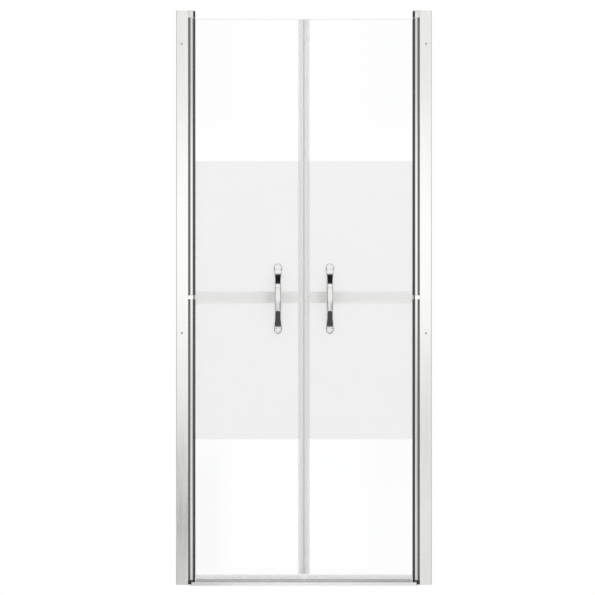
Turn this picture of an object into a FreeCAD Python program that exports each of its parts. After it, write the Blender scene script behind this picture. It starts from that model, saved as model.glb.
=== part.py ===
import FreeCAD, Part

import math
import os
from types import SimpleNamespace

import Sketcher

# Shower door for a niche: two side frames at the walls, a threshold bar, and two leaves that swing in and out.
# X runs to the right, Y away from the viewer and Z up. The origin is on the floor, in the middle of the door.
# The glass stands in the plane Y = 0. Each side frame and leaf is drawn around its own hinge axis.

# Driving dimensions, in millimetres.
DIMENSIONS = {
    # whole door
    "frame_width": 846,
    "frame_height": 1900,
    "hinge_inset": 51,
    "mid_height": 951,
    "overrun": 1,
    # wall profile, fixed to the wall
    "wall_reach": 28,
    "wall_skin": 1.8,
    "wall_web": 2,
    "wall_hole_diameter": 6,
    "wall_hole_end_inset": 150,
    "wall_hole_inner_inset": 700,
    # hinge profile, slides over the wall profile
    "frame_depth": 35,
    "hinge_skin": 1.8,
    "nose_web": 2,
    "nose_gap": 0.35,
    "nose_lip": 1.4,
    "nose_round": 0.5,
    "wall_strip": 3,
    "slide_clearance": 0.4,
    # screws
    "screw_diameter": 3.9,
    "screw_length": 9,
    "screw_head_diameter": 6.6,
    "screw_head_height": 2,
    "screw_head_bevel": 0.7,
    "screw_clearance": 0.2,
    "screw_bite": 0.03,
    "upper_screw_drop": 110.5,
    "lower_screw_drop": 118.5,
    "profile_screw_inset": 32,
    "bearing_screw_inset": 18.5,
    # bearings that carry the leaf
    "barrel_diameter": 24,
    "tail_reach": 26.5,
    "tail_clearance": 0.1,
    "top_block_height": 23,
    "knuckle_height": 11.6,
    "bottom_bearing_height": 14.6,
    "bearing_edge": 0.8,
    "pin_diameter": 8,
    "pin_length": 56,
    "pin_running": 0.05,
    "pin_fit": 0.02,
    "top_pin_depth": 14.5,
    "bottom_pin_depth": 10,
    "bush_wall": 1.95,
    "bush_fit": 0.03,
    "bush_flange": 1.5,
    "bush_flange_diameter": 20,
    "bush_end_gap": 0.4,
    # leaf gaps
    "top_gap": 0.3,
    "knuckle_gap": 0.4,
    "bottom_gap": 0.4,
    # barrel section
    "barrel_shell": 1.8,
    "boss_wall": 1.6,
    "slot_bottom": 5.4,
    "slot_wall": 1.6,
    "rib_thickness": 2,
    # glass
    "glass_thickness": 5,
    "glass_bite": 6.2,
    "glass_bottom": 22,
    "glass_top_drop": 26.8,
    "glass_half_gap": 11.5,
    "pane_joint_gap": 3,
    "notch_margin": 1.2,
    "glass_edge": 0.6,
    # glazing gasket
    "gasket_side": 1,
    "gasket_play": 0.05,
    "bead_width": 0.45,
    "bead_height": 1.1,
    "bead_gap": 0.15,
    # joint profile between the panes
    "joint_height": 36.4,
    "joint_depth": 10,
    "joint_web": 2,
    "joint_start": 13.6,
    "joint_end_gap": 0.5,
    "joint_groove": 1.4,
    "joint_groove_depth": 0.5,
    "joint_groove_pitch": 8,
    # meeting seal and magnet
    "seal_reach": 19,
    "seal_leg": 1.4,
    "seal_play": 0.1,
    "seal_bridge": 1.4,
    "seal_wall": 1,
    "seal_depth": 9,
    "meeting_gap": 0.6,
    "magnet_play": 0.2,
    "seal_start": 34,
    # drip seal
    "drip_top": 31.1,
    "drip_leg": 1.6,
    "drip_base": 3,
    "drip_fin": 1.2,
    "drip_fin_spread": 2.2,
    "drip_gap": 0.4,
    # wiper seals
    "wiper_gap": 0.35,
    "wiper_lip": 1.5,
    "wiper_tip": 5.3,
    "wiper_root": 6,
    "wiper_base_high": 13.6,
    "wiper_seat": 0.05,
    "wiper_end_gap": 0.5,
    # threshold bar
    "threshold_height": 11,
    "threshold_front": 36.5,
    "threshold_back": 17.5,
    "threshold_back_height": 3,
    "threshold_flat_back": 6,
    "threshold_skin": 1.8,
    "threshold_round": 1.6,
    "threshold_end_cover": 1,
    "threshold_notch": 0.6,
    "threshold_cap": 1.5,
    # caps on top of the side frames
    "cap_thickness": 3,
    "cap_leg": 1.6,
    "cap_leg_length": 9,
    "cap_clearance": 0.15,
    # handle
    "handle_inset": 86,
    "handle_drop": 4.5,
    "handle_hole_spacing": 206.5,
    "handle_foot_width": 26.5,
    "handle_foot_height": 10,
    "handle_neck_start": 95,
    "handle_neck_end": 36,
    "handle_rise": 31,
    "handle_grip_bow": 0.8,
    "handle_grip_width": 20.6,
    "handle_waist_width": 18.4,
    "handle_waist_height": 55,
    "handle_neck_thinning": 1.4,
    "handle_grip_thickness": 11.5,
    "handle_front_bevel": 1.4,
    "handle_foot_back_bevel": 0.8,
    "handle_grip_back_bevel": 2.6,
    "handle_tip_bevel": 2.4,
    "stud_diameter": 6,
    "stud_fit": 0.05,
    "stud_bite": 7,
    "stud_end_gap": 0.6,
    "washer_thickness": 1,
    "washer_diameter": 22,
    "sleeve_wall": 1.8,
    "sleeve_play": 0.2,
}

doc = FreeCAD.newDocument("shower_door")
sheet = doc.addObject("Spreadsheet::Sheet", "sizes")
for row, (alias, number) in enumerate(DIMENSIONS.items(), start=1):
    sheet.set(f"A{row}", alias)
    sheet.set(f"B{row}", str(number))
    sheet.setAlias(f"B{row}", alias)
doc.recompute()


class Size:
    """A size with its value and the sheet expression that it comes from, so that sums keep both."""

    def __init__(self, value, text):
        self.value = value
        self.text = text

    def joined(self, sign, other, value, swap=False):
        """The size that self and other make together."""
        other_text = other.text if isinstance(other, Size) else repr(other)
        first, second = (other_text, self.text) if swap else (self.text, other_text)
        return Size(value, f"({first} {sign} {second})")

    def __add__(self, other):
        return self.joined("+", other, self.value + plain(other))

    def __radd__(self, other):
        return self.joined("+", other, plain(other) + self.value, swap=True)

    def __sub__(self, other):
        return self.joined("-", other, self.value - plain(other))

    def __rsub__(self, other):
        return self.joined("-", other, plain(other) - self.value, swap=True)

    def __mul__(self, other):
        return self.joined("*", other, self.value * plain(other))

    def __rmul__(self, other):
        return self.joined("*", other, plain(other) * self.value, swap=True)

    def __truediv__(self, other):
        return self.joined("/", other, self.value / plain(other))

    def __neg__(self):
        return Size(-self.value, f"(0 - {self.text})")


def plain(size):
    """The number of millimetres in a Size, or the number itself."""
    return size.value if isinstance(size, Size) else size


def across(radius, offset):
    """Half the chord of a circle at an offset from its centre."""
    return Size(math.sqrt(plain(radius) ** 2 - plain(offset) ** 2), f"sqrt({radius.text}^2 - {offset.text}^2)")


D = SimpleNamespace(**{alias: Size(sheet.get(alias), f"sizes.{alias}") for alias in DIMENSIONS})

LEFT = -1
RIGHT = 1
SIDE_NAMES = {LEFT: "left", RIGHT: "right"}
FRONT = -1
BACK = 1
SCREW_SHANK_SIDES = 8
SCREW_HEAD_SIDES = 16

# Places that several pieces share, measured from the hinge axis: "wall" sizes run to the wall, "leaf" sizes
# run to the middle of the door, and heights are above the floor.
hinge_x = D.frame_width / 2 - D.hinge_inset
barrel_radius = D.barrel_diameter / 2
nose_face = barrel_radius + D.nose_gap
profile_end = D.hinge_inset - D.wall_strip
half_depth = D.frame_depth / 2
wall_half_depth = half_depth - D.hinge_skin - D.slide_clearance
pin_radius = D.pin_diameter / 2
bush_bore = pin_radius + D.pin_running
bush_radius = bush_bore + D.bush_wall
knuckle_bottom = D.mid_height - D.knuckle_height / 2
knuckle_top = D.mid_height + D.knuckle_height / 2
top_block_bottom = D.frame_height - D.top_block_height
barrel_top = top_block_bottom - D.bush_flange - D.top_gap
glass_top = D.frame_height - D.glass_top_drop
upper_screw_height = D.frame_height - D.upper_screw_drop
lower_screw_height = D.mid_height - D.lower_screw_drop
barrel_bottom = D.bottom_bearing_height + D.bottom_gap
lower_barrel_top = knuckle_bottom - D.knuckle_gap
upper_barrel_bottom = knuckle_top + D.knuckle_gap
half_glass = D.glass_thickness / 2
leaf_reach = hinge_x - D.meeting_gap / 2
glass_end = hinge_x - D.glass_half_gap
notch_reach = barrel_radius + D.notch_margin
lower_pane_top = D.mid_height - D.pane_joint_gap / 2
upper_pane_bottom = D.mid_height + D.pane_joint_gap / 2
slot_half = half_glass + D.gasket_side + 2 * D.gasket_play
handle_height = D.mid_height - D.handle_drop
handle_leaf_x = hinge_x - D.handle_inset
foot_seat = half_glass + D.washer_thickness
sleeve_radius = D.stud_diameter / 2 + D.stud_fit + D.sleeve_wall
glass_hole_radius = sleeve_radius + D.sleeve_play

nodes = []


def named(side, name):
    """The node name of a piece on one side of the door."""
    return f"{SIDE_NAMES[side]}_{name}"


def keep(piece):
    """Adds a finished piece to those that are written out."""
    nodes.append(piece)
    return piece


def put(piece, x=0, y=0, z=0):
    """Binds the place of a piece to the sheet."""
    for axis, size in (("x", x), ("y", y), ("z", z)):
        if isinstance(size, Size):
            piece.setExpression(f"Placement.Base.{axis}", size.text)
    return piece


def new_body(name):
    """An empty body for one piece."""
    body = doc.addObject("PartDesign::Body", name)
    body.Label = name
    return body


def new_sketch(body, role, name, height=None):
    """A sketch on one of the body's origin planes, raised by height along the plane's normal."""
    sketch = body.newObject("Sketcher::SketchObject", f"{body.Name}_{name}")
    plane = next(f for f in body.Origin.OriginFeatures if f.Role == role)
    sketch.AttachmentSupport = [(plane, "")]
    sketch.MapMode = "FlatFace"
    if height is not None:
        sketch.setExpression("AttachmentOffset.Base.z", height.text)
    return sketch


def fix(sketch, kind, edge, point, size, name):
    """Holds a point of an edge at a size from the sketch's origin."""
    index = sketch.addConstraint(Sketcher.Constraint(kind, -1, 1, edge, point, plain(size)))
    if isinstance(size, Size):
        sketch.renameConstraint(index, name)
        sketch.setExpression(f"Constraints.{name}", size.text)


def fix_radius(sketch, edge, size, name):
    """Holds the radius of a circle or an arc."""
    index = sketch.addConstraint(Sketcher.Constraint("Radius", edge, plain(size)))
    sketch.renameConstraint(index, name)
    sketch.setExpression(f"Constraints.{name}", size.text)


def arc_between(start, end, radius, turn):
    """An arc from start to end: turn is 1 for anticlockwise and -1 for clockwise, always the shorter way."""
    chord = end.sub(start)
    half = chord.Length / 2
    middle = start.add(end).multiply(0.5)
    across_chord = FreeCAD.Vector(-chord.y, chord.x, 0).normalize()
    lift = math.sqrt(max(radius**2 - half**2, 0))
    centre = middle.add(across_chord.multiply(turn * lift))
    first, last = (start, end) if turn > 0 else (end, start)
    angles = [math.atan2(p.y - centre.y, p.x - centre.x) for p in (first, last)]
    if angles[1] < angles[0]:
        angles[1] += 2 * math.pi
    circle = Part.Circle(centre, FreeCAD.Vector(0, 0, 1), radius)
    return Part.ArcOfCircle(circle, angles[0], angles[1])


def outline(sketch, corners, arcs=None):
    """Draws a closed outline through the corners. arcs maps the number of a corner to the (radius, turn)
    of the arc that starts there."""
    arcs = arcs or {}
    start_edge = sketch.GeometryCount
    points = [FreeCAD.Vector(plain(x), plain(y), 0) for x, y in corners]
    ends = []
    for index, point in enumerate(points):
        after = points[(index + 1) % len(points)]
        edge = start_edge + index
        if index in arcs:
            radius, turn = arcs[index]
            sketch.addGeometry(arc_between(point, after, plain(radius), turn), False)
            ends.append((edge, 1, 2) if turn > 0 else (edge, 2, 1))
        else:
            sketch.addGeometry(Part.LineSegment(point, after), False)
            ends.append((edge, 1, 2))
    for index, (edge, _, last) in enumerate(ends):
        next_edge, next_first, _ = ends[(index + 1) % len(ends)]
        sketch.addConstraint(Sketcher.Constraint("Coincident", edge, last, next_edge, next_first))
    for index, (x, y) in enumerate(corners):
        edge, first, _ = ends[index]
        fix(sketch, "DistanceX", edge, first, x, f"x{edge}")
        fix(sketch, "DistanceY", edge, first, y, f"y{edge}")
    for index, (radius, _) in arcs.items():
        fix_radius(sketch, start_edge + index, radius, f"r{start_edge + index}")


def circle(sketch, radius, x=0, y=0):
    """Draws a circle with its centre at x, y."""
    edge = sketch.GeometryCount
    centre = FreeCAD.Vector(plain(x), plain(y), 0)
    sketch.addGeometry(Part.Circle(centre, FreeCAD.Vector(0, 0, 1), plain(radius)), False)
    fix(sketch, "DistanceX", edge, 3, x, f"x{edge}")
    fix(sketch, "DistanceY", edge, 3, y, f"y{edge}")
    fix_radius(sketch, edge, radius, f"r{edge}")


def rectangle(sketch, x_low, y_low, x_high, y_high):
    """Draws a rectangle from its low corner to its high corner."""
    outline(sketch, [(x_low, y_low), (x_high, y_low), (x_high, y_high), (x_low, y_high)])


def many_sided(sketch, radius, sides):
    """Draws a regular polygon around the sketch's origin."""
    turns = [2 * math.pi * number / sides for number in range(sides)]
    outline(sketch, [(radius * math.cos(turn), radius * math.sin(turn)) for turn in turns])


def slab(sketch, side, x_near, x_far, y_low, y_high):
    """Draws a rectangle that starts x_near from the hinge axis and ends x_far from it, on one side."""
    rectangle(sketch, side * x_near, y_low, side * x_far, y_high)


def pad(body, sketch, length, symmetric=False, reverse=False):
    """Pads a sketch along its normal."""
    feature = body.newObject("PartDesign::Pad", f"{sketch.Name}_pad")
    feature.Profile = sketch
    feature.setExpression("Length", length.text)
    feature.SideType = "Symmetric" if symmetric else "One side"
    feature.Reversed = reverse
    body.Tip = feature
    return feature


def pocket(body, sketch, length, symmetric=False, reverse=False):
    """Cuts a sketch out of the body, to a depth, and checks that something was cut."""
    doc.recompute()
    before = body.Shape.Volume
    feature = body.newObject("PartDesign::Pocket", f"{sketch.Name}_cut")
    feature.Profile = sketch
    feature.setExpression("Length", length.text)
    feature.SideType = "Symmetric" if symmetric else "One side"
    feature.Reversed = reverse
    body.Tip = feature
    doc.recompute()
    if not body.Shape.Volume < before:
        raise RuntimeError(f"{feature.Name} cuts nothing")
    return feature


def edges_where(shape, test):
    """The names of the edges whose middle point and direction pass a test."""
    found = []
    for number, edge in enumerate(shape.Edges, start=1):
        middle = edge.valueAt((edge.FirstParameter + edge.LastParameter) / 2)
        if test(edge, middle):
            found.append(f"Edge{number}")
    return found


def dress(body, kind, name, test, property_name, size):
    """Rounds or bevels the edges of the body that pass a test."""
    doc.recompute()
    base = body.Tip
    found = edges_where(base.Shape, test)
    if not found:
        raise RuntimeError(f"{name} finds no edge")
    feature = body.newObject(f"PartDesign::{kind}", name)
    feature.Base = (base, found)
    feature.setExpression(property_name, size.text)
    body.Tip = feature
    doc.recompute()
    return feature


def near(value, size):
    """True where a coordinate is at a size, to a thousandth of the door's smallest wall."""
    return abs(value - plain(size)) < plain(D.wall_skin) / 1000


def revolve(body, sketch, role="Z_Axis"):
    """Turns a sketch about one of the body's axes."""
    feature = body.newObject("PartDesign::Revolution", f"{sketch.Name}_turn")
    feature.Profile = sketch
    axis = next(f for f in body.Origin.OriginFeatures if f.Role == role)
    feature.ReferenceAxis = (axis, [""])
    feature.Angle = 360
    body.Tip = feature
    return feature


def group(name, pieces):
    """Several separate solids that share one node."""
    compound = doc.addObject("Part::Compound", name)
    compound.Label = name
    compound.Links = pieces
    return compound


def wall_profile(side):
    """U profile on the wall, with a line of screw holes in its web."""
    body = put(new_body(named(side, "wall_profile")), x=side * hinge_x)
    sketch = new_sketch(body, "XY_Plane", "section")
    back = side * D.hinge_inset
    web = side * (D.hinge_inset - D.wall_web)
    tip = side * (D.hinge_inset - D.wall_reach)
    inner = wall_half_depth - D.wall_skin
    outline(
        sketch,
        [
            (back, -wall_half_depth),
            (tip, -wall_half_depth),
            (tip, -inner),
            (web, -inner),
            (web, inner),
            (tip, inner),
            (tip, wall_half_depth),
            (back, wall_half_depth),
        ],
    )
    pad(body, sketch, D.frame_height)
    holes = new_sketch(body, "YZ_Plane", "wall_holes")
    for inset in (D.wall_hole_end_inset, D.wall_hole_inner_inset):
        for height in (inset, D.frame_height - inset):
            circle(holes, D.wall_hole_diameter / 2, 0, height)
    pocket(body, holes, 2 * (D.hinge_inset + D.overrun), symmetric=True)
    pilots = new_sketch(body, "XZ_Plane", "pilot_holes")
    for height in (upper_screw_height, lower_screw_height):
        circle(pilots, D.screw_diameter / 2 + D.screw_bite, side * D.profile_screw_inset, height)
    pocket(body, pilots, half_depth, reverse=True)
    return keep(body)


def tail_slot(body, side, name, low, high):
    """Slot in the hinge profile's nose web, for the tail of a bearing."""
    sketch = new_sketch(body, "YZ_Plane", name)
    half = barrel_radius + D.tail_clearance
    rectangle(sketch, -half, low, half, high)
    pocket(body, sketch, 2 * (nose_face + D.nose_web + D.overrun), symmetric=True)


def hinge_profile(side):
    """Wide profile that carries the leaf. It is open to the wall, where it slides over the wall profile. Its
    faces run a little past the nose web, over the roots of the wiper seals."""
    body = put(new_body(named(side, "hinge_profile")), x=side * hinge_x)
    sketch = new_sketch(body, "XY_Plane", "section")
    nose = side * nose_face
    inner_nose = side * (nose_face + D.nose_web)
    lip = side * (nose_face - D.nose_lip)
    tip = side * profile_end
    inner = half_depth - D.hinge_skin
    outline(
        sketch,
        [
            (lip, -half_depth),
            (tip, -half_depth),
            (tip, -inner),
            (inner_nose, -inner),
            (inner_nose, inner),
            (tip, inner),
            (tip, half_depth),
            (lip, half_depth),
            (lip, inner),
            (nose, inner),
            (nose, -inner),
            (lip, -inner),
        ],
    )
    pad(body, sketch, D.frame_height)
    tail_slot(body, side, "bottom_slot", -D.overrun, D.bottom_bearing_height + D.tail_clearance)
    tail_slot(body, side, "middle_slot", knuckle_bottom - D.tail_clearance, knuckle_top + D.tail_clearance)
    tail_slot(body, side, "top_slot", top_block_bottom - D.tail_clearance, D.frame_height + D.overrun)
    front_holes = new_sketch(body, "XZ_Plane", "front_holes")
    hole_radius = D.screw_diameter / 2 + D.screw_clearance
    for height in (upper_screw_height, lower_screw_height):
        circle(front_holes, hole_radius, side * D.profile_screw_inset, height)
    pocket(body, front_holes, half_depth + D.overrun, reverse=True)
    back_holes = new_sketch(body, "XZ_Plane", "back_holes")
    for height in bearing_middles():
        circle(back_holes, hole_radius, side * D.bearing_screw_inset, height)
    pocket(body, back_holes, half_depth + D.overrun)
    dress(
        body,
        "Fillet",
        f"{body.Name}_nose_round",
        lambda edge, middle: near(middle.x, lip) and near(abs(middle.y), half_depth),
        "Radius",
        D.nose_round,
    )
    return keep(body)


def bearing_middles():
    """Heights of the screws that hold the three bearings."""
    return (D.bottom_bearing_height / 2, D.mid_height, D.frame_height - D.top_block_height / 2)


def bearing(side, name, low, height, bore, bore_low=None, bore_high=None):
    """Plate with a round nose about the hinge axis and a tail in the hinge profile. The bore goes right
    through where no depth is given."""
    body = put(new_body(named(side, name)), x=side * hinge_x, z=low)
    sketch = new_sketch(body, "XY_Plane", "section")
    tail = side * D.tail_reach
    corners = [
        (0, -barrel_radius),
        (tail, -barrel_radius),
        (tail, barrel_radius),
        (0, barrel_radius),
        (-side * barrel_radius, 0),
    ]
    outline(sketch, corners, {3: (barrel_radius, side), 4: (barrel_radius, side)})
    pad(body, sketch, height)
    start = -D.overrun if bore_low is None else bore_low
    end = height + D.overrun if bore_high is None else bore_high
    hole = new_sketch(body, "XY_Plane", "bore", start)
    circle(hole, bore)
    pocket(body, hole, end - start, reverse=True)
    pilot = new_sketch(body, "XZ_Plane", "pilot_hole")
    circle(pilot, D.screw_diameter / 2 + D.screw_bite, side * D.bearing_screw_inset, height / 2)
    pocket(body, pilot, barrel_radius + D.overrun)
    return body


def top_block(side):
    """Bearing at the top of the side frame, with its upper rim eased."""
    body = bearing(
        side,
        "top_block",
        top_block_bottom,
        D.top_block_height,
        bush_radius + D.bush_fit,
        bore_high=D.top_pin_depth + D.bush_end_gap,
    )
    dress(
        body,
        "Chamfer",
        f"{body.Name}_rim",
        lambda edge, middle: near(middle.z, D.top_block_height),
        "Size",
        D.bearing_edge,
    )
    return keep(body)


def mid_knuckle(side):
    """Bearing between the two lengths of the barrel."""
    body = bearing(side, "mid_knuckle", knuckle_bottom, D.knuckle_height, bush_radius + D.bush_fit)
    return keep(body)


def bottom_bearing(side):
    """Nylon bearing on the floor: its bore is a blind socket, which carries the weight of the leaf."""
    body = bearing(
        side,
        "bottom_bearing",
        0,
        D.bottom_bearing_height,
        bush_bore,
        bore_low=D.bottom_bearing_height - D.bottom_pin_depth - D.bush_end_gap,
    )
    return keep(body)


def top_bush(side):
    """Flanged bush in the top block."""
    body = put(new_body(named(side, "top_bush")), x=side * hinge_x, z=top_block_bottom)
    sketch = new_sketch(body, "XZ_Plane", "section")
    flange_radius = D.bush_flange_diameter / 2
    outline(
        sketch,
        [
            (bush_bore, -D.bush_flange),
            (flange_radius, -D.bush_flange),
            (flange_radius, 0),
            (bush_radius, 0),
            (bush_radius, D.top_pin_depth),
            (bush_bore, D.top_pin_depth),
        ],
    )
    revolve(body, sketch)
    return keep(body)


def mid_bush(side):
    """Plain bush in the knuckle."""
    body = put(new_body(named(side, "mid_bush")), x=side * hinge_x, z=knuckle_bottom)
    sketch = new_sketch(body, "XZ_Plane", "section")
    rectangle(sketch, bush_bore, 0, bush_radius, D.knuckle_height)
    revolve(body, sketch)
    return keep(body)


def wiper(side, face, name, low, high):
    """One length of black seal on the nose web, with its lip along the barrel."""
    body = put(new_body(name), x=side * hinge_x, z=low)
    sketch = new_sketch(body, "XY_Plane", "section")
    lip_radius = barrel_radius + D.wiper_gap
    outer_radius = lip_radius + D.wiper_lip
    base = nose_face - D.wiper_seat
    tip = D.wiper_tip
    root = D.wiper_root
    corners = [
        (side * base, face * root),
        (side * across(lip_radius, root), face * root),
        (side * tip, face * across(lip_radius, tip)),
        (side * tip, face * across(outer_radius, tip)),
        (side * base, face * D.wiper_base_high),
    ]
    outline(sketch, corners, {1: (lip_radius, side * face)})
    pad(body, sketch, high - low)
    return body


def wiper_seals(side):
    """Black seals that close the gap beside the barrel, in front and behind, above and below the knuckle."""
    spans = {
        "lower": (barrel_bottom + D.wiper_end_gap, knuckle_bottom - D.wiper_end_gap),
        "upper": (knuckle_top + D.wiper_end_gap, top_block_bottom - D.wiper_end_gap),
    }
    strips = [
        wiper(side, face, f"{named(side, span)}_wiper_{face_name}", low, high)
        for span, (low, high) in spans.items()
        for face, face_name in ((FRONT, "front"), (BACK, "back"))
    ]
    return keep(group(named(side, "wiper_seals"), strips))


def screw(name, x, z, face):
    """Pan head screw driven through a face of the hinge profile, towards the glass plane. It has few sides,
    because it is small."""
    body = put(new_body(name), x=x, z=z)
    shank = new_sketch(body, "XZ_Plane", "shank", -face * (half_depth - D.screw_length))
    many_sided(shank, D.screw_diameter / 2, SCREW_SHANK_SIDES)
    pad(body, shank, D.screw_length, reverse=face == BACK)
    head = new_sketch(body, "XZ_Plane", "head", -face * half_depth)
    many_sided(head, D.screw_head_diameter / 2, SCREW_HEAD_SIDES)
    pad(body, head, D.screw_head_height, reverse=face == BACK)
    dress(
        body,
        "Chamfer",
        f"{body.Name}_head_bevel",
        lambda edge, middle: near(middle.y, face * (half_depth + D.screw_head_height)),
        "Size",
        D.screw_head_bevel,
    )
    return body


def profile_screws(side):
    """The two screws on the front, which hold the width of the door."""
    heights = {"lower": lower_screw_height, "upper": upper_screw_height}
    place = side * (hinge_x + D.profile_screw_inset)
    screws = [screw(f"{named(side, name)}_profile_screw", place, z, FRONT) for name, z in heights.items()]
    return keep(group(named(side, "profile_screws"), screws))


def bearing_screws(side):
    """The three screws at the back, one in the tail of each bearing."""
    place = side * (hinge_x + D.bearing_screw_inset)
    screws = [
        screw(f"{named(side, 'bearing_screw')}_{number}", place, z, BACK)
        for number, z in enumerate(bearing_middles(), start=1)
    ]
    return keep(group(named(side, "bearing_screws"), screws))


def top_cap(side):
    """Plastic cap in the open top of the side frame, with two spring legs."""
    body = put(new_body(named(side, "top_cap")), x=side * hinge_x, z=D.frame_height)
    start = D.tail_reach + D.cap_clearance
    end = D.hinge_inset - D.wall_web - D.cap_clearance
    half = wall_half_depth - D.wall_skin - D.cap_clearance
    plate = new_sketch(body, "XY_Plane", "plate")
    slab(plate, side, start, end, -half, half)
    pad(body, plate, D.cap_thickness, reverse=True)
    legs = new_sketch(body, "XY_Plane", "legs")
    slab(legs, side, start, start + D.cap_leg, -half, half)
    slab(legs, side, end - D.cap_leg, end, -half, half)
    pad(body, legs, D.cap_leg_length, reverse=True)
    return keep(body)


def round_threshold_front(body):
    """Rounds the upper front edge of the threshold bar or of its end caps."""
    dress(
        body,
        "Fillet",
        f"{body.Name}_front_round",
        lambda edge, middle: near(middle.y, -D.threshold_front) and near(middle.z, D.threshold_height),
        "Radius",
        D.threshold_round,
    )


def threshold_bar():
    """Low hollow bar between the hinge profiles, notched at both ends for the bottom bearings."""
    body = new_body("threshold_bar")
    half_length = hinge_x - D.threshold_end_cover
    section = new_sketch(body, "YZ_Plane", "section")
    outline(
        section,
        [
            (-D.threshold_front, 0),
            (D.threshold_back, 0),
            (D.threshold_back, D.threshold_back_height),
            (D.threshold_flat_back, D.threshold_height),
            (-D.threshold_front, D.threshold_height),
        ],
    )
    pad(body, section, 2 * half_length, symmetric=True)
    round_threshold_front(body)
    notch = new_sketch(body, "XY_Plane", "notches", -D.overrun)
    notch_start = hinge_x - barrel_radius - D.threshold_notch
    for side in (LEFT, RIGHT):
        slab(
            notch,
            side,
            notch_start,
            half_length + D.overrun,
            -(barrel_radius + D.threshold_notch),
            D.threshold_back + D.overrun,
        )
    pocket(body, notch, D.threshold_height + 2 * D.overrun, reverse=True)
    chambers = new_sketch(body, "YZ_Plane", "chambers")
    rib = -(barrel_radius + D.threshold_notch)
    spans = (
        (-D.threshold_front + D.threshold_skin, rib - D.threshold_skin),
        (rib, D.threshold_flat_back - D.threshold_skin),
    )
    for front, back in spans:
        rectangle(chambers, front, D.threshold_skin, back, D.threshold_height - D.threshold_skin)
    pocket(body, chambers, 2 * (half_length + D.overrun), symmetric=True)
    return keep(body)


def threshold_caps():
    """Plugs in the two ends of the threshold bar's hollow."""
    plugs = []
    for side in (LEFT, RIGHT):
        body = put(new_body(named(side, "threshold_plug")), x=side * (hinge_x - D.threshold_end_cover))
        plate = new_sketch(body, "YZ_Plane", "plate")
        rib = -(barrel_radius + D.threshold_notch)
        rectangle(plate, -D.threshold_front, 0, rib, D.threshold_height)
        pad(body, plate, D.threshold_cap, reverse=side == LEFT)
        round_threshold_front(body)
        tongue = new_sketch(body, "YZ_Plane", "tongue")
        rectangle(
            tongue,
            -D.threshold_front + D.threshold_skin + D.cap_clearance,
            D.threshold_skin + D.cap_clearance,
            rib - D.threshold_skin - D.cap_clearance,
            D.threshold_height - D.threshold_skin - D.cap_clearance,
        )
        pad(body, tongue, D.cap_leg_length, reverse=side == RIGHT)
        plugs.append(body)
    return keep(group("threshold_caps", plugs))


def barrel_chamber(sketch, side, face):
    """C-shaped hollow between the shell and the pin boss, on one face of the barrel."""
    shell = barrel_radius - D.barrel_shell
    boss = pin_radius + D.pin_fit + D.boss_wall
    slot_y = slot_half + D.slot_wall
    rib_y = D.rib_thickness / 2
    outline(
        sketch,
        [
            (-side * across(shell, slot_y), face * slot_y),
            (-side * across(boss, slot_y), face * slot_y),
            (side * across(boss, rib_y), face * rib_y),
            (side * across(shell, rib_y), face * rib_y),
        ],
        {1: (boss, -side * face), 3: (shell, side * face)},
    )


def barrel(side, name, low, high):
    """Round hinge stile: a bore for the pins, a slot for the glass and two hollows beside them."""
    body = put(new_body(named(side, name)), x=side * hinge_x, z=low)
    round_section = new_sketch(body, "XY_Plane", "round")
    circle(round_section, barrel_radius)
    circle(round_section, pin_radius + D.pin_fit)
    length = high - low
    pad(body, round_section, length)
    slot = new_sketch(body, "XY_Plane", "slot")
    slab(slot, -side, D.slot_bottom, barrel_radius + D.overrun, -slot_half, slot_half)
    pocket(body, slot, length, reverse=True)
    hollows = new_sketch(body, "XY_Plane", "hollows")
    for face in (FRONT, BACK):
        barrel_chamber(hollows, side, face)
    pocket(body, hollows, length, reverse=True)
    return keep(body)


def pivot_pins(side):
    """Three steel pins in the ends of the barrels: they turn in the top bush, the knuckle and the bottom
    bearing."""
    starts = {
        "bottom": barrel_bottom - D.bottom_gap - D.bottom_pin_depth,
        "middle": D.mid_height - D.pin_length / 2,
        "top": top_block_bottom + D.top_pin_depth - D.pin_length,
    }
    pins = []
    for name, start in starts.items():
        body = put(new_body(f"{named(side, name)}_pin"), x=side * hinge_x, z=start)
        section = new_sketch(body, "XY_Plane", "section")
        circle(section, pin_radius)
        pad(body, section, D.pin_length)
        pins.append(body)
    return keep(group(named(side, "pivot_pins"), pins))


def pane(side, name, low, high, notch_low, notch_high, hole_height):
    """Pane of safety glass: a corner is cut away for the knuckle, and a hole takes the handle's stud."""
    body = put(new_body(named(side, name)), x=side * hinge_x)
    sketch = new_sketch(body, "XZ_Plane", "outline")
    near_x = -side * D.glass_bite
    notch_x = -side * notch_reach
    far_x = -side * glass_end
    if notch_low is low:
        corners = [(notch_x, low), (far_x, low), (far_x, high), (near_x, high), (near_x, notch_high)]
        corners.append((notch_x, notch_high))
    else:
        corners = [(near_x, low), (far_x, low), (far_x, high), (notch_x, high), (notch_x, notch_low)]
        corners.append((near_x, notch_low))
    outline(sketch, corners)
    circle(sketch, glass_hole_radius, -side * handle_leaf_x, hole_height)
    pad(body, sketch, D.glass_thickness, symmetric=True)
    dress(
        body,
        "Chamfer",
        f"{body.Name}_ground_edge",
        lambda edge, middle: near(abs(middle.y), half_glass)
        and (near(middle.x, far_x) or near(middle.z, low) or near(middle.z, high)),
        "Size",
        D.glass_edge,
    )
    return keep(body)


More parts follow.
